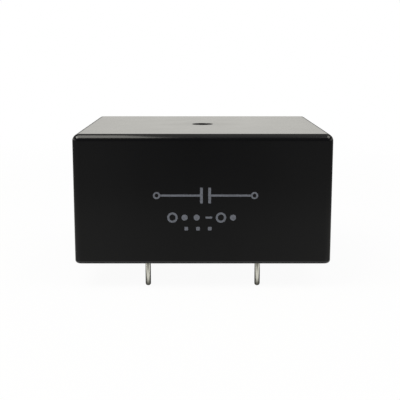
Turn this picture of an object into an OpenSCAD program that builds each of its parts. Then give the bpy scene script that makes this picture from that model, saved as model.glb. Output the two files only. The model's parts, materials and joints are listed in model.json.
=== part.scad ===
// Box film capacitor for a circuit board. Two flattened film windings lie side by side in a moulded
// case, with sprayed metal on their ends, a lead soldered on each end and resin cast around it all.
// Millimetres, +Z up. The origin is the middle of the seating plane, where the rim of the case
// stands on the board. The front is at -Y and the left at -X, and the leads reach below the plane.

/* [Case] */
// Width of the case at its rim, from left to right
case_w = 47; // [38:0.5:60]
// Depth of the case at its rim, from front to rear
case_d = 42; // [32:0.5:60]
// Height of the case above the seating plane
case_h = 23.8; // [18:0.1:26]
// Thickness of the side walls at the rim
side_wall = 0.9; // [0.8:0.05:1.4]
// Thickness of the top wall
top_wall = 1.5; // [1.2:0.1:2.5]
// How far each outer face leans in from the rim to the top
outer_draft = 0.05; // [0:0.05:0.4]
// How far each inner face leans in from the rim to the ceiling
inner_draft = 0.25; // [0:0.05:0.5]
// Radius of the upright edges and of the edges round the top
edge_r = 1.25; // [1.2:0.05:2]
// Radius of the outer edge of the rim
rim_r = 0.55; // [0.2:0.05:0.6]
// Radius of the edges inside the case
inner_r = 0.6; // [0.3:0.05:1.2]

/* [Gate mark] */
// Diameter of the round recess in the top, where the plastic entered the mould
gate_d = 4.2; // [2:0.1:8]
// Depth of the recess
gate_depth = 0.7; // [0.4:0.05:1]
// Diameter of the stub that is left of the sprue in the recess
sprue_d = 1.2; // [0.6:0.1:1.8]
// Height of the stub
sprue_h = 0.3; // [0.1:0.05:0.35]

/* [Leads] */
// Diameter of the round lead
lead_d = 1; // [0.8:0.1:1.2]
// Free length of a lead below the seating plane
lead_length = 4.6; // [3:0.1:8]
// Rounding of the lead's tip
lead_tip_r = 0.4; // [0.1:0.05:0.4]
// Distance between the left and the right leads
lead_pitch = 20.3; // [16:0.1:26]
// Resin between a lead and the side wall at the rim
lead_cover = 0.85; // [0.8:0.05:1.5]
// Width of the flattened tail of a lead inside the resin
tail_w = 1.6; // [1:0.1:2]
// Thickness of the tail
tail_t = 0.5; // [0.3:0.05:0.7]
// Length over which the round lead becomes the flat tail
tail_neck = 1.2; // [0.5:0.1:2]
// How far the tail runs past the middle of the winding's end
tail_past = 1.1; // [0.5:0.1:1.2]

/* [Windings] */
// Resin between the windings, and from them to the walls and the ceiling
winding_gap = 0.6; // [0.3:0.05:1.5]
// Height of the windings' undersides above the seating plane
winding_lift = 3.2; // [2.5:0.1:5]
// Thickness of the sprayed metal on the windings' ends
spray_t = 0.5; // [0.2:0.05:1]
// Bare margin of the winding's end around the sprayed metal
spray_margin = 0.5; // [0.2:0.05:2]
// Diameter of a solder joint where it lies on the sprayed metal
solder_d = 4; // [3.5:0.1:6]
// Height of a solder joint over the sprayed metal
solder_h = 0.9; // [0.7:0.05:1.1]

/* [Resin] */
// Depth of the resin's surface inside the rim
resin_recess = 0.5; // [0.3:0.05:1.2]
// Radius of the curve in which the resin climbs the walls
meniscus_r = 0.4; // [0.1:0.05:0.8]
// How far the end of that curve lies behind the face of the wall
meniscus_bite = 0.05; // [0.03:0.01:0.1]
// Radius of the curve in which the resin climbs a lead
lead_meniscus_r = 0.25; // [0.1:0.05:0.4]

/* [Hidden] */

// Signs of the two sides along X and of the two ends along Y, with their names
sides = [["left", -1], ["right", 1]];
ends = [["front", -1], ["rear", 1]];

$fn = 96;
// Sides of a circle in a hull
hull_fn = 32;
// How far a cut runs past the face that it opens
cut_over = 1;
// Thickness of a slice at the end of a hull
slice = 0.01;
// How far the ends of a lead's neck lie inside the round part and inside the tail
neck_bite = 0.05;

// Inside of the case: mouth, ceiling and lean per millimetre of height
mouth_w = case_w - 2 * side_wall;
mouth_d = case_d - 2 * side_wall;
ceiling_z = case_h - top_wall;
inner_lean = inner_draft / (ceiling_z - inner_r);

// Leads and what they are soldered to
lead_r = lead_d / 2;
lead_x = lead_pitch / 2;
lead_y = mouth_d / 2 - lead_cover - lead_r;
spray_y = lead_y - lead_r;
winding_length = 2 * (spray_y - spray_t);
winding_w = (mouth_w - 2 * inner_draft - 3 * winding_gap) / 2;
winding_h = ceiling_z - winding_gap - winding_lift;
winding_x = (winding_w + winding_gap) / 2;
winding_z = winding_lift + winding_h / 2;
tail_z = resin_recess + tail_neck;

// Curves of the resin, which end inside the mouth however shallow its recess is
wall_climb_r = min(meniscus_r, resin_recess - slice);
lead_climb_r = min(lead_meniscus_r, resin_recess - slice);

module at_corners(w, d, r) {
    for (x = [-1, 1], y = [-1, 1])
        translate([x * (w / 2 - r), y * (d / 2 - r), 0]) children();
}

module ball(r) {
    rotate_extrude($fn = hull_fn)
        intersection() {
            circle(r, $fn = hull_fn);
            translate([0, -r]) square([r, 2 * r]);
        }
}

// Flat shape with straight sides and round ends, along whichever of its sides is longer
module obround(w, h) {
    r = min(w, h) / 2;
    for (end = [-1, 1])
        translate([end * (w / 2 - r), end * (h / 2 - r)]) circle(r);
    square(w > h ? [w - h, h] : [w, h - w], center = true);
}

// Outside of the case: upright edges that lean in, a round rim and a round top
module case_block() {
    hull() {
        at_corners(case_w, case_d, edge_r)
            rotate_extrude($fn = hull_fn)
                translate([edge_r - rim_r, rim_r]) circle(rim_r, $fn = hull_fn);
        translate([0, 0, case_h - edge_r])
            at_corners(case_w - 2 * outer_draft, case_d - 2 * outer_draft, edge_r) ball(edge_r);
    }
}

// Inside of the case, drawn on past its mouth at the same lean
module cavity() {
    past_w = mouth_w + 2 * inner_lean * cut_over;
    past_d = mouth_d + 2 * inner_lean * cut_over;
    hull() {
        translate([0, 0, -cut_over])
            at_corners(past_w, past_d, inner_r) cylinder(r = inner_r, h = slice, $fn = hull_fn);
        translate([0, 0, ceiling_z - inner_r])
            at_corners(mouth_w - 2 * inner_draft, mouth_d - 2 * inner_draft, inner_r) ball(inner_r);
    }
}

// Round recess in the top, with the stub standing in it
module gate_recess() {
    translate([0, 0, case_h - gate_depth])
        rotate_extrude()
            difference() {
                square([gate_d / 2, gate_depth + cut_over]);
                square([sprue_d / 2, sprue_h]);
            }
}

module case() {
    color([0.09, 0.09, 0.09])
        difference() {
            case_block();
            cavity();
            gate_recess();
        }
}

// Space between the mouth and the resin's surface, with the curve that the resin makes at the walls
module resin_hollow() {
    hollow_w = mouth_w + 2 * meniscus_bite;
    hollow_d = mouth_d + 2 * meniscus_bite;
    hull() {
        translate([0, 0, -2 * cut_over])
            at_corners(hollow_w, hollow_d, wall_climb_r)
                cylinder(r = wall_climb_r, h = slice, $fn = hull_fn);
        translate([0, 0, resin_recess - wall_climb_r])
            at_corners(hollow_w, hollow_d, wall_climb_r) ball(wall_climb_r);
    }
}

// Resin that climbs a lead, in a hollow curve of short straight steps
module lead_meniscus(side, end) {
    foot = lead_r + lead_climb_r;
    curve = [for (a = [75 : -15 : 15]) [foot - lead_climb_r * cos(a), lead_climb_r * (sin(a) - 1)]];
    translate([side[1] * lead_x, end[1] * lead_y, resin_recess])
        rotate_extrude()
            polygon(concat(
                [[0, cut_over], [foot, cut_over], [foot, slice]],
                curve,
                [[lead_r - 2 * slice, -lead_climb_r], [0, -lead_climb_r]]));
}

module potting_resin() {
    color([0.13, 0.13, 0.14])
        difference() {
            cavity();
            difference() {
                resin_hollow();
                for (side = sides, end = ends) lead_meniscus(side, end);
            }
            for (side = sides) winding(side);
            for (side = sides, end = ends) {
                end_spray(side, end);
                solder_cap(side, end);
                lead(side, end);
            }
        }
}

// A flat shape on the winding's section, drawn out along Y from one plane to another
module along_winding(side, y_from, y_to) {
    translate([side[1] * winding_x, max(y_from, y_to), winding_z])
        rotate([90, 0, 0])
            linear_extrude(abs(y_to - y_from)) children();
}

module winding(side) {
    color([0.72, 0.73, 0.74])
        along_winding(side, -winding_length / 2, winding_length / 2) obround(winding_w, winding_h);
}

module end_spray(side, end) {
    color([0.55, 0.56, 0.58])
        along_winding(side, end[1] * (spray_y - spray_t), end[1] * spray_y)
            obround(winding_w - 2 * spray_margin, winding_h - 2 * spray_margin);
}

// Cap of a ball on the sprayed metal, over the lead's tail
module solder_cap(side, end) {
    cap_r = (pow(solder_d / 2, 2) + pow(solder_h, 2)) / (2 * solder_h);
    translate([side[1] * lead_x, end[1] * spray_y, winding_z])
        rotate([-90 * end[1], 0, 0])
            rotate_extrude()
                intersection() {
                    translate([0, solder_h - cap_r]) circle(cap_r);
                    square([solder_d / 2, solder_h]);
                }
}

module solder_joint(side, end) {
    color([0.80, 0.80, 0.78])
        difference() {
            solder_cap(side, end);
            lead_tail(side, end);
        }
}

module tail_section(inset = 0) {
    obround(tail_w - 2 * inset, tail_t - 2 * inset);
}

// Flat part of a lead, which lies on the sprayed metal
module lead_tail(side, end) {
    translate([side[1] * lead_x, end[1] * (spray_y + tail_t / 2), tail_z])
        linear_extrude(winding_z + tail_past - tail_z) tail_section();
}

// Round part of a lead, from its tip to the resin's surface
module lead_pin(side, end) {
    tip_z = -lead_length + lead_tip_r;
    translate([side[1] * lead_x, end[1] * lead_y, 0])
        rotate_extrude() {
            translate([0, tip_z]) square([lead_r, resin_recess - tip_z]);
            intersection() {
                translate([lead_r - lead_tip_r, tip_z]) circle(lead_tip_r);
                translate([0, -lead_length]) square([lead_r, lead_length]);
            }
            translate([0, -lead_length]) square([lead_r - lead_tip_r, lead_tip_r]);
        }
}

// Stretch in the resin where the round lead was pressed flat, from inside the round part to inside the tail
module lead_neck(side, end) {
    hull() {
        translate([side[1] * lead_x, end[1] * lead_y, resin_recess - neck_bite])
            cylinder(r = lead_r - neck_bite, h = slice, $fn = hull_fn);
        translate([side[1] * lead_x, end[1] * (spray_y + tail_t / 2), tail_z + neck_bite])
            linear_extrude(slice) tail_section(neck_bite, $fn = hull_fn);
    }
}

module lead(side, end) {
    color([0.78, 0.77, 0.73]) {
        lead_pin(side, end);
        lead_neck(side, end);
        lead_tail(side, end);
    }
}

case();
potting_resin();
for (side = sides)
    winding(side);
for (side = sides, end = ends) {
    place = str(end[0], "_", side[0]);
    end_spray(side, end);
    solder_joint(side, end);
    lead(side, end);
}
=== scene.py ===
"""Finish of a box film capacitor: moulded case, cast resin, tinned leads, printed marks and inner parts."""
import json
import math
from contextlib import contextmanager

import bmesh
import bpy
from mathutils import Matrix, Vector


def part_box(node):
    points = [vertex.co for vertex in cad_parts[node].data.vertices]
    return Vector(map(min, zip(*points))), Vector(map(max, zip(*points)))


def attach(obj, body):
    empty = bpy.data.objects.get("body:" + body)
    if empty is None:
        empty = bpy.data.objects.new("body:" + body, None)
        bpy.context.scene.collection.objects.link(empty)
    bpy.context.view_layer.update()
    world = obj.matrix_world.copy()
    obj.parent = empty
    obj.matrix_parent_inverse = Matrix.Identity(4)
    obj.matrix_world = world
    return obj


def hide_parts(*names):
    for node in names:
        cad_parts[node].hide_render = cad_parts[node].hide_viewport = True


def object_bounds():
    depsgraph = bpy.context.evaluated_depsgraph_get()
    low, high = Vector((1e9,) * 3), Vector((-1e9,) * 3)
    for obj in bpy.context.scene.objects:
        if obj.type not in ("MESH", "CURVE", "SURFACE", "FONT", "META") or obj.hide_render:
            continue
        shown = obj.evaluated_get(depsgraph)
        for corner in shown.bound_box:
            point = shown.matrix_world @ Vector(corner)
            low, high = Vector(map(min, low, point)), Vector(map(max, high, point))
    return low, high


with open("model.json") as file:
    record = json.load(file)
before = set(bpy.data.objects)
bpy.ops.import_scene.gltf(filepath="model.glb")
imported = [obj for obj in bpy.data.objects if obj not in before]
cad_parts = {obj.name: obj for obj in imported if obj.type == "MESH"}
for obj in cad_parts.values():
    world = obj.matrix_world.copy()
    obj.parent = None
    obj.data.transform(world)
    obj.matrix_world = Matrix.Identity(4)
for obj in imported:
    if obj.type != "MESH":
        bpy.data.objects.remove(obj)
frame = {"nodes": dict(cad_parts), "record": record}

bl_info = {
    "name": "Film capacitor finish",
    "version": (1, 0, 0),
    "blender": (4, 5, 0),
    "location": "3D View > Sidebar > Capacitor",
    "description": "Models and finishes the pieces of a box film capacitor",
    "category": "Object",
}

MM = 0.001

CAD_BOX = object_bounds()
CASE_LOW, CASE_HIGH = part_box("case")
RESIN_LOW, RESIN_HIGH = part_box("potting_resin")
LEAD_LOW, LEAD_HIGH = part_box("lead_front_left")
PINS = {mount["name"]: mount for mount in frame["record"]["mounts"] if mount["kind"] == "pin"}
FIRST_PIN = PINS["lead_front_left_pin"]

SELECT_MODES = {"edges": "EDGE", "faces": "FACE"}
# Two places nearer than this are the same
NEAR = 0.01 * MM
# A face looks along an axis if its normal has at least this part along it
FACING = 0.9
# How far a cutter runs past the face that it opens
CUT_OVER = 1 * MM
# Edges sharper than this angle stay sharp
SMOOTH_ANGLE = math.radians(35)

# Segments of round edges
EDGE_SEGMENTS = 10
INNER_SEGMENTS = 8
RIM_SEGMENTS = 6
GATE_SEGMENTS = 4
TIP_SEGMENTS = 6
CORNER_SEGMENTS = 3

# Sides of round shapes
GATE_SIDES = 72
LEAD_SIDES = 32
DISC_SIDES = 40

# Marks of the code from left to right
CODE_ROW = ("ring", "disc", "disc", "bar", "ring", "disc")

# Width and length of each soft light
LIGHT_SIZES = {
    "left": (130 * MM, 280 * MM),
    "key": (145 * MM, 370 * MM),
    "right": (235 * MM, 290 * MM),
}

BLACK = (0, 0, 0)
WHITE = (1, 1, 1)

# How much each axis counts in the plastic's flow bands, the wire's streaks and the film's turns
FLOW_AXES = (1, 1, 0.35)
STREAK_AXES = (1, 1, 0.06)
TURN_AXES = (1, 0.01, 1)

# Places of the share and the two colours among a Mix node's inputs, and of the colour it gives
MIX_SHARE = 0
MIX_FIRST = 6
MIX_SECOND = 7
MIX_RESULT = 2

# Side of the square floor, its colour to the eye, and a darker colour of painted shade that reflections and
# bounced light meet
FLOOR_SIZE = 3
FLOOR_COLOUR = (0.8, 0.8, 0.8)
PAINTED_SHADE_FLOOR = (0.31, 0.31, 0.31)
# Painted light and shade on the floor in reflections: how much its painted pool of light fades far from the
# object, and how much a painted lane in line with its middle darkens it
PAINTED_POOL_FALLOFF = 0.54
PAINTED_LANE_SHADE = 0.44

# White that reflections meet all round, on the wall behind, in that wall's low band and overhead
ROOM_WHITE = 0.04
WALL_WHITE = 0.13
BAND_WHITE = 0.74
CEILING_WHITE = 0.17
# What the wall loses towards its sides
SIDE_LOSS = 0.09

SENSOR_WIDTH = 36


def length_property(label, text, value):
    """A size in metres for the sidebar."""
    return bpy.props.FloatProperty(
        name=label, description=text, default=value, unit="LENGTH", precision=6)


def share_property(label, text, value):
    """A share between nothing and all for the sidebar."""
    return bpy.props.FloatProperty(
        name=label, description=text, default=value, min=0, max=1, subtype="FACTOR")


def colour_property(label, text, value):
    """A colour for the sidebar."""
    return bpy.props.FloatVectorProperty(
        name=label, description=text, default=value, min=0, max=1, size=3, subtype="COLOR")


def place_property(label, text, value):
    """A place in metres for the sidebar."""
    return bpy.props.FloatVectorProperty(
        name=label, description=text, default=value, size=3, subtype="TRANSLATION", unit="LENGTH")


def power_property(label, text, value):
    """A lamp's power in watts for the sidebar."""
    return bpy.props.FloatProperty(
        name=label, description=text, default=value, min=0, unit="POWER")


class CaseSettings(bpy.types.PropertyGroup):
    """Sizes and finish of the moulded case."""

    edge_radius: length_property("Edge radius", "Radius of the upright edges and round the top", 1.25 * MM)
    rim_radius: length_property("Rim radius", "Radius of the outer edge of the rim", 0.55 * MM)
    inner_radius: length_property("Inner radius", "Radius of the edges inside the case", 0.6 * MM)
    outer_lean: length_property("Outer lean", "How far a side leans in from rim to top", 0.05 * MM)
    inner_lean: length_property("Inner lean", "How far an inner face leans in to the ceiling", 0.25 * MM)
    gate_diameter: length_property("Gate diameter", "Diameter of the recess in the top", 4.2 * MM)
    gate_depth: length_property("Gate depth", "Depth of the recess in the top", 0.7 * MM)
    gate_edge: length_property("Gate edge", "Rounding of the edge of the recess", 0.1 * MM)
    stub_diameter: length_property("Stub diameter", "Diameter of the stub in the recess", 1.2 * MM)
    stub_height: length_property("Stub height", "Height of the stub in the recess", 0.3 * MM)
    stub_rim: length_property("Stub rim", "Width of the rim round the stub's dished top", 0.24 * MM)
    stub_dish: length_property("Stub dish", "Depth of the dish in the stub's top", 0.1 * MM)
    colour: colour_property("Colour", "Colour of the plastic", (0.0058, 0.006, 0.007))
    roughness: share_property("Roughness", "Roughness of the moulded faces", 0.12)
    unevenness: share_property("Unevenness", "How much the roughness varies with the flow", 0.05)
    flow_size: length_property("Flow size", "Width of the bands in which the plastic flowed", 7 * MM)
    grain_size: length_property("Grain size", "Size of the fine grain", 0.16 * MM)
    grain_depth: length_property("Grain depth", "Depth of the fine grain", 0.001 * MM)
    bloom: share_property("Bloom", "How much rougher the top is round the gate", 0.02)
    bloom_radius: length_property("Bloom radius", "Where that roughness ends", 9 * MM)


class ResinSettings(bpy.types.PropertyGroup):
    """Finish of the resin that fills the case."""

    colour: colour_property("Colour", "Colour of the cast resin", (0.016, 0.016, 0.017))
    roughness: share_property("Roughness", "Roughness of the resin's surface", 0.34)
    unevenness: share_property("Unevenness", "How much the roughness varies with the filler", 0.15)
    speck_size: length_property("Speck size", "Size of the filler's specks", 0.12 * MM)
    wave_size: length_property("Wave size", "Length of the waves in the skin", 5 * MM)
    wave_depth: length_property("Wave depth", "Depth of the waves in the skin", 0.06 * MM)
    pinhole_pitch: length_property("Pinhole pitch", "Distance between pinholes", 2.2 * MM)
    pinhole_depth: length_property("Pinhole depth", "Depth of a pinhole", 0.05 * MM)
    pinhole_roughness: share_property("Pinhole roughness", "How much rougher a pinhole is", 0.2)


class LeadSettings(bpy.types.PropertyGroup):
    """Sizes and finish of the leads."""

    tip_radius: length_property("Tip radius", "Rounding of the tip of a lead", 0.4 * MM)
    tail_width: length_property("Tail width", "Width of the flat tail in the resin", 1.6 * MM)
    tail_thickness: length_property("Tail thickness", "Thickness of the flat tail", 0.5 * MM)
    neck: length_property("Neck", "Length over which the round lead becomes flat", 1.2 * MM)
    resin_level: length_property("Resin level", "Height over the rim where the round lead ends", 0.5 * MM)
    colour: colour_property("Colour", "Colour of the tinned wire", (0.79, 0.78, 0.69))
    roughness: share_property("Roughness", "Roughness of the tin", 0.24)
    streak_size: length_property("Streak size", "Width of the streaks along the wire", 0.12 * MM)
    streak_depth: length_property("Streak depth", "Depth of the streaks along the wire", 0.004 * MM)
    streak_roughness: share_property("Streak roughness", "How much the roughness varies in streaks", 0.14)
    cloud_size: length_property("Cloud size", "Size of the clouds in the tin", 0.9 * MM)
    cloud_roughness: share_property("Cloud roughness", "How much the roughness varies in clouds", 0.1)


class MarkSettings(bpy.types.PropertyGroup):
    """Sizes and finish of the marks on the front."""

    thickness: length_property("Thickness", "How far the ink stands on the face", 0.012 * MM)
    line: length_property("Line", "Width of a printed line", 0.38 * MM)
    corner: share_property("Corner", "Rounding of a bar's corners, as a share of its shorter side", 0.2)
    symbol_level: length_property("Symbol level", "Middle of the symbol over the rim", 12.75 * MM)
    symbol_offset: length_property("Symbol offset", "How far right of the middle the symbol is", 0.5 * MM)
    symbol_width: length_property("Symbol width", "Width of the symbol", 19 * MM)
    plate_height: length_property("Plate height", "Height of the symbol's plates", 2.9 * MM)
    plate_line: length_property("Plate line", "Width of a plate", 0.494 * MM)
    plate_gap: length_property("Plate gap", "Distance between the plates", 0.986 * MM)
    terminal_diameter: length_property("Terminal diameter", "Diameter of a round terminal", 1.3 * MM)
    terminal_line: length_property("Terminal line", "Line width of a round terminal", 0.304 * MM)
    code_level: length_property("Code level", "Middle of the code over the rim", 8.7 * MM)
    code_pitch: length_property("Code pitch", "Distance between the marks of the code", 2.2 * MM)
    ring_diameter: length_property("Ring diameter", "Diameter of a ring in the code", 1.9 * MM)
    disc_diameter: length_property("Disc diameter", "Diameter of a disc in the code", 1.1 * MM)
    bar_length: length_property("Bar length", "Length of the bar in the code", 1.2 * MM)
    dot_level: length_property("Dot level", "Middle of the square dots over the rim", 6.65 * MM)
    dot_offset: length_property("Dot offset", "How far right of the middle the dots are", -0.86 * MM)
    dot_pitch: length_property("Dot pitch", "Distance between the dots", 2.14 * MM)
    dot_size: length_property("Dot size", "Side of a square dot", 0.66 * MM)
    colour: colour_property("Colour", "Colour of the ink", (0.25, 0.267, 0.318))
    patch_size: length_property("Patch size", "Size of the thin patches in the ink", 0.35 * MM)


class InsideSettings(bpy.types.PropertyGroup):
    """Finish of the parts in the resin."""

    film: colour_property("Film", "Colour of the metallised film", (0.5, 0.51, 0.53))
    turn_size: length_property("Turn size", "Width of the lines that the film's turns make", 0.1 * MM)
    spray: colour_property("Spray", "Colour of the sprayed metal", (0.3, 0.31, 0.33))
    drop_size: length_property("Drop size", "Size of the sprayed droplets", 0.18 * MM)
    drop_depth: length_property("Drop depth", "Depth between the sprayed droplets", 0.05 * MM)
    solder: colour_property("Solder", "Colour of the solder", (0.62, 0.62, 0.6))
    skin_size: length_property("Skin size", "Size of the grain in the solder's skin", 0.5 * MM)
    skin_depth: length_property("Skin depth", "Depth of the grain in the solder's skin", 0.02 * MM)


class StageSettings(bpy.types.PropertyGroup):
    """Camera and light."""

    eye: place_property("Eye", "Place of the camera", (-0.498 * MM, -170.44 * MM, 38.87 * MM))
    look_down: bpy.props.FloatProperty(
        name="Look down", description="Angle of the view below the horizon", subtype="ANGLE",
        default=math.radians(10.849))
    lens: bpy.props.FloatProperty(
        name="Lens", description="Focal length", default=75.66, min=1, unit="CAMERA")
    shift: bpy.props.FloatProperty(
        name="Shift", description="Upward shift of the frame, as a share of its width", default=0.0233)
    shadow: share_property("Shadow", "How much of the floor's white takes the shadow", 0.05)
    # Painted light: the floor glows this white round the object's foot, seen only in reflections
    painted_foot_white: share_property("Mirrored white", "White of the floor at the foot in reflections", 0.8)
    backdrop: colour_property("Backdrop", "Colour of the backdrop in reflections", (1, 0.985, 0.93))
    lamp: colour_property("Lamp", "Colour of the soft lights", (1, 0.985, 0.91))
    left_place: place_property("Left place", "Place of the left light", (-228 * MM, -130 * MM, 345 * MM))
    left_power: power_property("Left power", "Power of the left light", 0.68)
    key_place: place_property("Key place", "Place of the main light", (-108 * MM, -116 * MM, 390 * MM))
    key_power: power_property("Key power", "Power of the main light", 0.49)
    right_place: place_property("Right place", "Place of the right light", (210 * MM, -100 * MM, 370 * MM))
    right_power: power_property("Right power", "Power of the right light", 0.56)
    ambient: share_property("Ambient", "Light from all round on matt surfaces", 0.4)


SETTINGS = {
    "capacitor_case": CaseSettings,
    "capacitor_resin": ResinSettings,
    "capacitor_lead": LeadSettings,
    "capacitor_mark": MarkSettings,
    "capacitor_inside": InsideSettings,
    "capacitor_stage": StageSettings,
}


class Link:
    """A shader socket in a Python expression: each operator adds a Math node."""

    def __init__(self, shader, socket):
        self.shader = shader
        self.socket = socket

    def __add__(self, other):
        return self.shader.math("ADD", self, other)

    def __sub__(self, other):
        return self.shader.math("SUBTRACT", self, other)

    def __rsub__(self, other):
        return self.shader.math("SUBTRACT", other, self)

    def __mul__(self, other):
        return self.shader.math("MULTIPLY", self, other)

    def __pow__(self, other):
        return self.shader.math("POWER", self, other)

    def __abs__(self):
        return self.shader.math("ABSOLUTE", self)

    __radd__ = __add__
    __rmul__ = __mul__


class Shader:
    """The nodes of one material or world."""

    def __init__(self, owner):
        owner.use_nodes = True
        self.tree = owner.node_tree
        self.tree.nodes.clear()

    def node(self, kind, settings=None, sockets=None, output=0):
        """Adds a node with its settings, then its sockets' values or links, and returns one output."""
        node = self.tree.nodes.new(kind)
        for name, value in (settings or {}).items():
            setattr(node, name, value)
        for name, value in (sockets or {}).items():
            if isinstance(value, Link):
                self.tree.links.new(value.socket, node.inputs[name])
            else:
                node.inputs[name].default_value = value
        return Link(self, node.outputs[output]) if len(node.outputs) else None

    def math(self, operation, *values):
        """A Math node on values and links."""
        sockets = dict(enumerate(values))
        return self.node("ShaderNodeMath", {"operation": operation}, sockets)

    def place(self):
        """Object coordinates, in metres."""
        return self.node("ShaderNodeTexCoord", output="Object")

    def axes(self, vector):
        """The three parts of a vector."""
        sockets = {"Vector": vector}
        return [self.node("ShaderNodeSeparateXYZ", sockets=sockets, output=axis) for axis in "XYZ"]

    def stretched(self, vector, factors):
        """A vector with each of its parts times its own factor."""
        return self.node("ShaderNodeVectorMath", {"operation": "MULTIPLY"}, {0: vector, 1: factors})

    def noise(self, vector, size, detail=2.0, roughness=0.5):
        """Noise from 0 to 1 whose larger grains have this size."""
        return self.node("ShaderNodeTexNoise", sockets={
            "Vector": vector, "Scale": 1 / size, "Detail": detail, "Roughness": roughness})

    def holes(self, vector, pitch, inner, outer):
        """1 in small round spots about this far apart, and 0 between them."""
        sockets = {"Vector": vector, "Scale": 1 / pitch}
        distance = self.node("ShaderNodeTexVoronoi", sockets=sockets, output="Distance")
        return 1 - self.step(distance, inner, outer)

    def step(self, value, low, high):
        """A soft step from 0 at the low value to 1 at the high one."""
        return self.node("ShaderNodeMapRange", {"interpolation_type": "SMOOTHSTEP"}, {
            "Value": value, "From Min": low, "From Max": high})

    def between(self, share, first, last):
        """A value that goes from the first to the last as a share goes from 0 to 1."""
        return first + (last - first) * share

    def blend(self, share, first, second):
        """A colour between two others."""
        ends = [colour if isinstance(colour, Link) else (*colour, 1) for colour in (first, second)]
        sockets = {MIX_SHARE: share, MIX_FIRST: ends[0], MIX_SECOND: ends[1]}
        return self.node("ShaderNodeMix", {"data_type": "RGBA"}, sockets, MIX_RESULT)

    def varied(self, share, colour, darkest, lightest):
        """A colour that a share from 0 to 1 takes from its darkest to its lightest form."""
        forms = [[min(part * factor, 1) for part in colour] for factor in (darkest, lightest)]
        return self.blend(share, *forms)

    def bump(self, height, depth, normal=None):
        """A normal that follows a height from 0 to 1 over this depth."""
        sockets = {"Height": height, "Distance": depth, "Strength": 1.0}
        if normal:
            sockets["Normal"] = normal
        return self.node("ShaderNodeBump", sockets=sockets)

    def principled(self, **values):
        """The surface, with its sockets named by words joined with underscores."""
        sockets = {name.replace("_", " "): value for name, value in values.items()}
        self.finish(self.node("ShaderNodeBsdfPrincipled", sockets=sockets))

    def finish(self, surface, kind="Material"):
        """Links a surface to the output."""
        self.node(f"ShaderNodeOutput{kind}", sockets={"Surface": surface})


def new_material(name):
    """An empty material and its nodes."""
    material = bpy.data.materials.new(name)
    return material, Shader(material)


def case_plastic(look):
    """Black moulded plastic: fine grain, soft flow bands and a duller bloom round the gate."""
    material, shader = new_material("case_plastic")
    place = shader.place()
    x, y, z = shader.axes(place)
    grain = shader.noise(place, look.grain_size)
    flow = shader.noise(shader.stretched(place, FLOW_AXES), look.flow_size, detail=3)
    from_gate = (x * x + y * y) ** 0.5
    on_top = shader.step(z, low=CASE_HIGH.z - 0.4 * MM, high=CASE_HIGH.z - 0.05 * MM)
    gate_reach = look.gate_diameter / 2 + look.gate_edge
    bloom = on_top * (1 - shader.step(from_gate, low=gate_reach, high=look.bloom_radius))
    shader.principled(
        Base_Color=shader.varied(flow, look.colour, darkest=0.8, lightest=1.2),
        Roughness=look.roughness + look.unevenness * (flow - 0.5) + look.bloom * bloom,
        IOR=1.55,
        Normal=shader.bump(grain, look.grain_depth))
    return material


def cast_resin(look):
    """Dark cast resin: a slightly wavy skin with filler specks and pinholes."""
    material, shader = new_material("cast_resin")
    place = shader.place()
    waves = shader.noise(place, look.wave_size)
    filler = shader.noise(place, look.speck_size, detail=3)
    specks = shader.step(filler, low=0.55, high=0.75)
    pinholes = shader.holes(place, look.pinhole_pitch, inner=0.05, outer=0.12)
    skin = shader.bump(waves, look.wave_depth)
    shader.principled(
        Base_Color=shader.varied(specks, look.colour, darkest=1, lightest=2.2),
        Roughness=look.roughness + look.unevenness * (filler - 0.5) + look.pinhole_roughness * pinholes,
        IOR=1.4,
        Normal=shader.bump(1 - pinholes, look.pinhole_depth, skin))
    return material


def tinned_wire(look):
    """Tin on drawn wire: lengthwise streaks and soft clouds."""
    material, shader = new_material("tinned_wire")
    place = shader.place()
    streaks = shader.noise(shader.stretched(place, STREAK_AXES), look.streak_size, detail=3)
    clouds = shader.noise(place, look.cloud_size)
    streaky = look.streak_roughness * (streaks - 0.5)
    cloudy = look.cloud_roughness * (clouds - 0.5)
    shader.principled(
        Base_Color=shader.varied(clouds, look.colour, darkest=0.86, lightest=1.1),
        Metallic=1.0,
        Roughness=look.roughness + streaky + cloudy,
        Normal=shader.bump(streaks, look.streak_depth))
    return material


def marking_ink(look):
    """Stamped ink of uneven density, duller than the plastic."""
    material, shader = new_material("marking_ink")
    density = shader.noise(shader.place(), look.patch_size, detail=3, roughness=0.65)
    cover = shader.step(density, low=0.25, high=0.6)
    shader.principled(
        Base_Color=shader.varied(cover, look.colour, darkest=0.62, lightest=1),
        Roughness=shader.between(density, first=0.4, last=0.3),
        IOR=1.55)
    return material


def metallised_film(look):
    """Wound film: fine lines of its turns along the winding."""
    material, shader = new_material("metallised_film")
    turns = shader.noise(shader.stretched(shader.place(), TURN_AXES), look.turn_size)
    shader.principled(
        Base_Color=shader.varied(turns, look.film, darkest=0.75, lightest=1.15),
        Metallic=0.6,
        Roughness=shader.between(turns, first=0.25, last=0.45))
    return material


def sprayed_metal(look):
    """Metal sprayed on in droplets: coarse, dull and pitted."""
    material, shader = new_material("sprayed_metal")
    drops = shader.noise(shader.place(), look.drop_size, detail=4, roughness=0.65)
    shader.principled(
        Base_Color=shader.varied(drops, look.spray, darkest=0.6, lightest=1.3),
        Metallic=0.9,
        Roughness=shader.between(drops, first=0.55, last=0.8),
        Normal=shader.bump(drops, look.drop_depth))
    return material


def soft_solder(look):
    """Bright solder with a faintly grained skin."""
    material, shader = new_material("soft_solder")
    skin = shader.noise(shader.place(), look.skin_size, detail=3)
    shader.principled(
        Base_Color=shader.varied(skin, look.solder, darkest=0.85, lightest=1.1),
        Metallic=1.0,
        Roughness=shader.between(skin, first=0.18, last=0.38),
        Normal=shader.bump(skin, look.skin_depth))
    return material


def make_active(piece):
    """Leaves one piece selected and active."""
    bpy.ops.object.select_all(action="DESELECT")
    piece.select_set(True)
    bpy.context.view_layer.objects.active = piece


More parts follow.
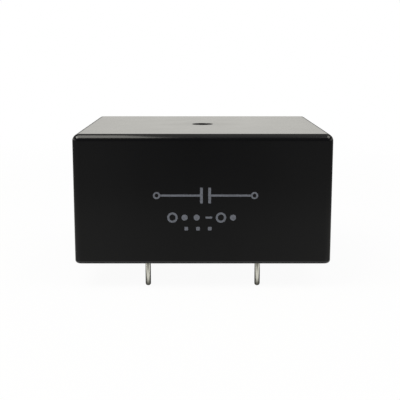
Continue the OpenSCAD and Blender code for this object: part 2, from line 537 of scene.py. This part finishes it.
def named(name):
    """Names the piece that was just added and puts its place into its mesh."""
    piece = bpy.context.active_object
    piece.name = name
    piece.data.name = name
    bpy.ops.object.transform_apply(location=True, rotation=True, scale=True)
    return piece


@contextmanager
def edit_mode(piece):
    """Edit mode on one piece while the block runs."""
    make_active(piece)
    bpy.ops.object.mode_set(mode="EDIT")
    yield
    bpy.ops.object.mode_set(mode="OBJECT")


def choose(piece, kind, test):
    """Selects the edges or faces of a piece in edit mode that pass a test."""
    bpy.ops.mesh.select_mode(type=SELECT_MODES[kind])
    bpy.ops.mesh.select_all(action="DESELECT")
    shape = bmesh.from_edit_mesh(piece.data)
    chosen = [part for part in getattr(shape, kind) if test(part)]
    if not chosen:
        raise RuntimeError(f"{piece.name} has none of the {kind} to work on")
    for part in chosen:
        part.select_set(True)
    shape.select_flush_mode()
    bmesh.update_edit_mesh(piece.data)


def at_level(level):
    """A test for edges or faces whose vertices all lie at a height."""
    def test(part):
        return all(abs(vertex.co.z - level) < NEAR for vertex in part.verts)
    return test


def is_upright(edge):
    """Whether an edge runs mostly up and down."""
    run = edge.verts[0].co - edge.verts[1].co
    return abs(run.z) > max(abs(run.x), abs(run.y))


def runs_through(edge):
    """Whether an edge runs from the front of a flat mark to its back."""
    return abs(edge.verts[0].co.y - edge.verts[1].co.y) > NEAR


def add_block(name, low, high):
    """A box between two corners, with its place in its mesh."""
    bpy.ops.object.select_all(action="DESELECT")
    bpy.ops.mesh.primitive_cube_add(size=1, location=(low + high) / 2, scale=high - low)
    return named(name)


def leaning_block(name, low, high, lean, radius, segments):
    """A box whose sides lean in towards the top, with round upright and top edges."""
    block = add_block(name, low, high)
    size = high - low
    with edit_mode(block):
        choose(block, "faces", at_level(high.z))
        bpy.ops.transform.resize(
            value=(1 - 2 * lean / size.x, 1 - 2 * lean / size.y, 1), center_override=(0, 0, high.z))
        choose(block, "edges", lambda edge: is_upright(edge) or at_level(high.z)(edge))
        bpy.ops.mesh.bevel(offset=radius, segments=segments, affect="EDGES")
    return block


def combine(piece, other, operation):
    """Cuts another shape out of a piece or joins it on, and removes that shape."""
    make_active(piece)
    modifier = piece.modifiers.new("combine", "BOOLEAN")
    modifier.object = other
    modifier.operation = operation
    modifier.solver = "EXACT"
    bpy.ops.object.modifier_apply(modifier=modifier.name)
    bpy.data.objects.remove(other)
    if not piece.data.polygons:
        raise RuntimeError(f"{piece.name} has no faces left")


def smooth(piece):
    """Smooth shading between its sharp edges, led by the larger faces."""
    make_active(piece)
    bpy.ops.object.shade_smooth_by_angle(angle=SMOOTH_ANGLE)
    modifier = piece.modifiers.new("flat_faces", "WEIGHTED_NORMAL")
    modifier.keep_sharp = True
    bpy.ops.object.modifier_apply(modifier=modifier.name)


def hand_over(piece, material, replaced=None):
    """Gives a finished piece its material and its place in the frame."""
    piece.data.materials.clear()
    piece.data.materials.append(material)
    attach(piece, "root")
    if replaced:
        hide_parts(replaced)


def paint_nodes(start, material):
    """Gives a material to the nodes of the frame whose names start with these words."""
    slots = [slot for name, node in frame["nodes"].items() if name.startswith(start)
             for slot in node.material_slots]
    if not slots:
        raise RuntimeError(f"The frame has no {start} to paint")
    for slot in slots:
        slot.material = material


class CAPACITOR_OT_case(bpy.types.Operator):
    """Models the moulded case with its round edges, its inside and the gate mark on top"""

    bl_idname = "capacitor.case"
    bl_label = "Moulded case"

    def execute(self, context):
        look = context.scene.capacitor_case
        case = leaning_block(
            "case_shell", CASE_LOW, CASE_HIGH, look.outer_lean, look.edge_radius, EDGE_SEGMENTS)
        with edit_mode(case):
            choose(case, "edges", at_level(CASE_LOW.z))
            bpy.ops.mesh.bevel(offset=look.rim_radius, segments=RIM_SEGMENTS, affect="EDGES")
        combine(case, self.inside(look), "DIFFERENCE")
        combine(case, self.gate(look), "DIFFERENCE")
        with edit_mode(case):
            self.round_gate_edge(case, look)
        smooth(case)
        hand_over(case, case_plastic(look), "case")
        return {"FINISHED"}

    def inside(self, look):
        """The hollow of the case, drawn on past its mouth."""
        low = Vector((RESIN_LOW.x, RESIN_LOW.y, CASE_LOW.z - CUT_OVER))
        return leaning_block(
            "inside", low, RESIN_HIGH, look.inner_lean, look.inner_radius, INNER_SEGMENTS)

    def gate(self, look):
        """The round recess, hollowed from below by the dished stub that stands in it."""
        floor = CASE_HIGH.z - look.gate_depth
        height = look.gate_depth + CUT_OVER
        bpy.ops.object.select_all(action="DESELECT")
        bpy.ops.mesh.primitive_cylinder_add(
            vertices=GATE_SIDES, radius=look.gate_diameter / 2, depth=height,
            location=(0, 0, floor + height / 2))
        recess = named("gate_recess")
        with edit_mode(recess):
            choose(recess, "faces", at_level(floor))
            bpy.ops.mesh.inset(thickness=(look.gate_diameter - look.stub_diameter) / 2)
            bpy.ops.mesh.extrude_region_move(
                TRANSFORM_OT_translate={"value": (0, 0, look.stub_height)})
            bpy.ops.mesh.inset(thickness=look.stub_rim)
            bpy.ops.transform.translate(value=(0, 0, -look.stub_dish))
        return recess

    def round_gate_edge(self, case, look):
        """Rounds the edge where the recess opens in the top."""
        def on_edge(edge):
            reach = max(vertex.co.xy.length for vertex in edge.verts)
            return at_level(CASE_HIGH.z)(edge) and reach < look.gate_diameter / 2 + NEAR
        choose(case, "edges", on_edge)
        bpy.ops.mesh.bevel(offset=look.gate_edge, segments=GATE_SEGMENTS, affect="EDGES")


class CAPACITOR_OT_resin(bpy.types.Operator):
    """Finishes the resin that fills the case"""

    bl_idname = "capacitor.resin"
    bl_label = "Cast resin"

    def execute(self, context):
        paint_nodes("potting_resin", cast_resin(context.scene.capacitor_resin))
        return {"FINISHED"}


class CAPACITOR_OT_leads(bpy.types.Operator):
    """Models one tinned lead from its tip to its flat tail and copies it to the other places"""

    bl_idname = "capacitor.leads"
    bl_label = "Leads"

    def execute(self, context):
        look = context.scene.capacitor_lead
        material = tinned_wire(look)
        pitch = PINS["lead_front_right_pin"]["pos_m"][0] - FIRST_PIN["pos_m"][0]
        across = Matrix.Translation((pitch, 0, 0))
        turned = Matrix.Rotation(math.pi, 4, "Z")
        moves = {
            "front_right": across,
            "rear_right": turned,
            "rear_left": turned @ across,
        }
        first = self.lead(look)
        leads = {"front_left": first}
        for place, move in moves.items():
            leads[place] = self.copy(first, move)
        for place, lead in leads.items():
            lead.name = f"tinned_lead_{place}"
            hand_over(lead, material, f"lead_{place}")
        return {"FINISHED"}

    def lead(self, look):
        """The front left lead: a round pin, a neck and a flat tail on the sprayed metal."""
        radius = FIRST_PIN["dims"]["r_mm"] * MM
        x, y, _ = FIRST_PIN["pos_m"]
        pin_top = look.resin_level
        tail_low = pin_top + look.neck
        tail_y = y + radius - look.tail_thickness / 2
        bpy.ops.object.select_all(action="DESELECT")
        bpy.ops.mesh.primitive_cylinder_add(
            vertices=LEAD_SIDES, radius=radius, depth=pin_top - LEAD_LOW.z,
            location=(x, y, (pin_top + LEAD_LOW.z) / 2))
        lead = named("tinned_lead")
        with edit_mode(lead):
            choose(lead, "edges", at_level(LEAD_LOW.z))
            bpy.ops.mesh.bevel(offset=look.tip_radius, segments=TIP_SEGMENTS, affect="EDGES")
            choose(lead, "faces", at_level(pin_top))
            bpy.ops.mesh.extrude_region_move(
                TRANSFORM_OT_translate={"value": (0, tail_y - y, look.neck)})
            bpy.ops.transform.resize(
                value=(look.tail_width / 2 / radius, look.tail_thickness / 2 / radius, 1),
                center_override=(x, tail_y, tail_low))
            bpy.ops.mesh.extrude_region_move(
                TRANSFORM_OT_translate={"value": (0, 0, LEAD_HIGH.z - tail_low)})
        smooth(lead)
        return lead

    def copy(self, lead, move):
        """A copy with a mesh of its own at another place."""
        other = lead.copy()
        other.data = lead.data.copy()
        other.data.transform(move)
        bpy.context.scene.collection.objects.link(other)
        return other


class CAPACITOR_OT_marks(bpy.types.Operator):
    """Lays the printed marks on the front: a plate symbol, a row of rings and discs and three dots"""

    bl_idname = "capacitor.marks"
    bl_label = "Front marks"

    def execute(self, context):
        look = context.scene.capacitor_mark
        shapes = self.symbol(look) + self.code(look) + self.dots(look)
        make_active(shapes[0])
        for shape in shapes:
            shape.select_set(True)
        bpy.ops.object.join()
        marks = named("front_print")
        self.lay_on_face(marks, context.scene.capacitor_case)
        hand_over(marks, marking_ink(look))
        return {"FINISHED"}

    def bar(self, look, x, z, width, height):
        """A printed bar with slightly round corners."""
        middle = Vector((x, CASE_LOW.y, z))
        half = Vector((width / 2, look.thickness, height / 2))
        bar = add_block("bar", middle - half, middle + half)
        with edit_mode(bar):
            choose(bar, "edges", runs_through)
            bpy.ops.mesh.bevel(
                offset=look.corner * min(width, height), segments=CORNER_SEGMENTS, affect="EDGES")
        return bar

    def disc(self, look, x, z, diameter, line=None):
        """A printed disc, or a ring where a line width is given."""
        bpy.ops.object.select_all(action="DESELECT")
        bpy.ops.mesh.primitive_cylinder_add(
            vertices=DISC_SIDES, radius=diameter / 2, depth=2 * look.thickness,
            location=(x, CASE_LOW.y, z), rotation=(math.pi / 2, 0, 0))
        disc = named("disc")
        if line:
            with edit_mode(disc):
                choose(disc, "faces", lambda face: abs(face.normal.y) > FACING)
                bpy.ops.mesh.inset(thickness=line)
                bpy.ops.mesh.bridge_edge_loops()
        return disc

    def symbol(self, look):
        """Two plates face to face, each on a wire with a round terminal."""
        level = look.symbol_level
        halves = []
        for side in (-1, 1):
            plate_x = look.symbol_offset + side * (look.plate_gap + look.plate_line) / 2
            end_x = look.symbol_offset + side * (look.symbol_width - look.terminal_diameter) / 2
            wire_end = end_x - side * (look.terminal_diameter - look.line) / 2
            wire_x = (plate_x + wire_end) / 2
            half = self.bar(look, plate_x, level, look.plate_line, look.plate_height)
            wire = self.bar(look, wire_x, level, abs(wire_end - plate_x), look.line)
            terminal = self.disc(look, end_x, level, look.terminal_diameter, look.terminal_line)
            combine(half, wire, "UNION")
            combine(half, terminal, "UNION")
            halves.append(half)
        return halves

    def code(self, look):
        """Rings and discs in a row, with a short bar between them."""
        level = look.code_level
        shapes = []
        for number, kind in enumerate(CODE_ROW):
            x = (number - (len(CODE_ROW) - 1) / 2) * look.code_pitch
            if kind == "bar":
                shapes.append(self.bar(look, x, level, look.bar_length, look.line))
            elif kind == "ring":
                shapes.append(self.disc(look, x, level, look.ring_diameter, look.line))
            else:
                shapes.append(self.disc(look, x, level, look.disc_diameter))
        return shapes

    def dots(self, look):
        """Three small square dots."""
        places = [look.dot_offset + step * look.dot_pitch for step in (-1, 0, 1)]
        return [self.bar(look, x, look.dot_level, look.dot_size, look.dot_size) for x in places]

    def lay_on_face(self, marks, case):
        """Tips the marks back about the rim, as the front face leans."""
        angle = math.atan(case.outer_lean / (CASE_HIGH.z - CASE_LOW.z))
        rim = Matrix.Translation((0, CASE_LOW.y, CASE_LOW.z))
        marks.data.transform(rim @ Matrix.Rotation(-angle, 4, "X") @ rim.inverted())


class CAPACITOR_OT_inside(bpy.types.Operator):
    """Finishes the windings, the sprayed metal on their ends and the solder joints"""

    bl_idname = "capacitor.inside"
    bl_label = "Parts in the resin"

    def execute(self, context):
        look = context.scene.capacitor_inside
        paint_nodes("winding", metallised_film(look))
        paint_nodes("end_spray", sprayed_metal(look))
        paint_nodes("solder_joint", soft_solder(look))
        return {"FINISHED"}


class CAPACITOR_OT_stage(bpy.types.Operator):
    """Sets up the floor, the white surroundings, the soft light and the camera"""

    bl_idname = "capacitor.stage"
    bl_label = "Stage"

    def execute(self, context):
        look = context.scene.capacitor_stage
        context.scene.view_settings.view_transform = "Standard"
        self.floor(look)
        self.surroundings(context.scene, look)
        for name, size in LIGHT_SIZES.items():
            self.soft_light(context.scene, look, name, size)
        self.camera(context.scene, look)
        return {"FINISHED"}

    def rays(self, shader):
        """Which rays ask: those of the eye or through glass, and those of a reflection."""
        kinds = ("Is Camera Ray", "Is Transmission Ray", "Is Glossy Ray")
        camera, through, glossy = [shader.node("ShaderNodeLightPath", output=kind) for kind in kinds]
        return shader.math("MINIMUM", camera + through, 1), glossy

    def floor(self, look):
        """A white floor that keeps a faint shadow to the eye and a full one in reflections, where it also
        shows painted light and shade: a painted pool of light, a painted darker lane in line with the
        object, a painted white glow round the object's foot and painted shade under the case.
        """
        bpy.ops.object.select_all(action="DESELECT")
        bpy.ops.mesh.primitive_plane_add(size=FLOOR_SIZE, location=(0, 0, CAD_BOX[0][2]))
        floor = named("floor")
        material, shader = new_material("white_floor")
        x, y, _ = shader.axes(shader.place())
        eye, glossy = self.rays(shader)
        away = (x * x + y * y) ** 0.5
        shadowed = 1 - shader.step(away, low=80 * MM, high=260 * MM)
        # Painted pool of light: in reflections the floor is brightest near the object and darker away from
        # it
        painted_pool = 1 - PAINTED_POOL_FALLOFF * shader.step(away, low=20 * MM, high=170 * MM)
        # Painted shade: in reflections the floor is darker in a lane in line with the object's middle
        painted_lane = (1 - PAINTED_LANE_SHADE) + PAINTED_LANE_SHADE * shader.step(abs(x), low=0, high=60 * MM)
        outside = shader.math("MAXIMUM", abs(x) - CASE_HIGH.x, abs(y) - CASE_HIGH.y)
        # Painted shade under the case: the painted white glow round the foot stops where the floor lies
        # under the case
        uncovered = shader.step(outside, low=-1 * MM, high=3 * MM)
        foot = uncovered * (1 - shader.step(outside, low=6 * MM, high=20 * MM))
        # Painted shade: reflections and bounced light meet the floor in a darker colour, dimmed further by
        # the painted pool of light and the painted lane
        painted_reflected_floor = shader.blend(painted_pool * painted_lane, BLACK, PAINTED_SHADE_FLOOR)
        matt = shader.node("ShaderNodeBsdfDiffuse", sockets={
            "Color": shader.blend(eye, painted_reflected_floor, FLOOR_COLOUR)})
        # In reflections the floor's white glow fades with the painted pool of light
        white = shader.node("ShaderNodeEmission", sockets={
            "Color": shader.blend(eye + glossy * painted_pool, BLACK, WHITE)})
        # In reflections the floor glows with painted white in a ring round the object's foot
        share = eye * (1 - look.shadow * shadowed) + glossy * foot * look.painted_foot_white
        shader.finish(shader.node("ShaderNodeMixShader", sockets={0: share, 1: matt, 2: white}))
        floor.data.materials.append(material)

    def surroundings(self, scene, look):
        """White to the eye, even light on matt surfaces and a bright wall behind in reflections."""
        world = bpy.data.worlds.new("studio")
        scene.world = world
        shader = Shader(world)
        side, depth, height = shader.axes(shader.node("ShaderNodeTexCoord", output="Generated"))
        eye, glossy = self.rays(shader)
        behind = shader.step(depth, low=-0.9, high=0)
        over_horizon = shader.step(height, low=0.015, high=0.08)
        centre = 1 - SIDE_LOSS * shader.step(abs(side), low=0.06, high=0.2)
        band = 1 - shader.step(height, low=0.22, high=0.36)
        overhead = shader.step(height, low=0.7, high=0.95)
        wall = behind * over_horizon * centre * (WALL_WHITE + BAND_WHITE * band)
        mirrored = ROOM_WHITE + wall + CEILING_WHITE * overhead
        strength = eye + glossy * mirrored + (1 - eye) * (1 - glossy) * look.ambient
        colour = shader.blend(glossy, WHITE, look.backdrop)
        light = shader.node("ShaderNodeBackground", sockets={"Color": colour, "Strength": strength})
        shader.finish(light, "World")

    def soft_light(self, scene, look, name, size):
        """A soft rectangular light that faces the object and that the eye doesn't see."""
        data = bpy.data.lights.new(f"{name}_light", "AREA")
        data.shape = "RECTANGLE"
        data.size, data.size_y = size
        data.energy = getattr(look, f"{name}_power")
        data.color = look.lamp
        light = bpy.data.objects.new(data.name, data)
        light.location = getattr(look, f"{name}_place")
        away = light.location.normalized()
        across = Vector((0, 1, 0)).cross(away).normalized()
        light.rotation_euler = Matrix((across, away.cross(across), away)).transposed().to_euler()
        light.visible_camera = False
        scene.collection.objects.link(light)

    def camera(self, scene, look):
        """The camera at the eye, looking along +Y and down."""
        data = bpy.data.cameras.new("camera")
        data.lens = look.lens
        data.sensor_width = SENSOR_WIDTH
        data.shift_y = look.shift
        data.clip_start = 10 * MM
        camera = bpy.data.objects.new("camera", data)
        camera.location = look.eye
        camera.rotation_euler = (math.pi / 2 - look.look_down, 0, 0)
        scene.collection.objects.link(camera)
        scene.camera = camera


OPERATORS = (
    CAPACITOR_OT_case,
    CAPACITOR_OT_resin,
    CAPACITOR_OT_leads,
    CAPACITOR_OT_marks,
    CAPACITOR_OT_inside,
    CAPACITOR_OT_stage,
)


class CAPACITOR_PT_sidebar(bpy.types.Panel):
    """Sizes, colours and steps of the capacitor"""

    bl_idname = "CAPACITOR_PT_sidebar"
    bl_label = "Film capacitor"
    bl_space_type = "VIEW_3D"
    bl_region_type = "UI"
    bl_category = "Capacitor"

    def draw(self, context):
        for operator in OPERATORS:
            self.layout.operator(operator.bl_idname)
        for name, group in SETTINGS.items():
            box = self.layout.box()
            for setting in group.__annotations__:
                box.prop(getattr(context.scene, name), setting)


def register():
    for group in SETTINGS.values():
        bpy.utils.register_class(group)
    for name, group in SETTINGS.items():
        setattr(bpy.types.Scene, name, bpy.props.PointerProperty(type=group))
    for operator in OPERATORS:
        bpy.utils.register_class(operator)
    bpy.utils.register_class(CAPACITOR_PT_sidebar)


def unregister():
    bpy.utils.unregister_class(CAPACITOR_PT_sidebar)
    for operator in reversed(OPERATORS):
        bpy.utils.unregister_class(operator)
    for name, group in SETTINGS.items():
        delattr(bpy.types.Scene, name)
        bpy.utils.unregister_class(group)


def main():
    register()
    bpy.ops.capacitor.case()
    bpy.ops.capacitor.resin()
    bpy.ops.capacitor.leads()
    bpy.ops.capacitor.marks()
    bpy.ops.capacitor.inside()
    bpy.ops.capacitor.stage()


if __name__ == "__main__":
    main()
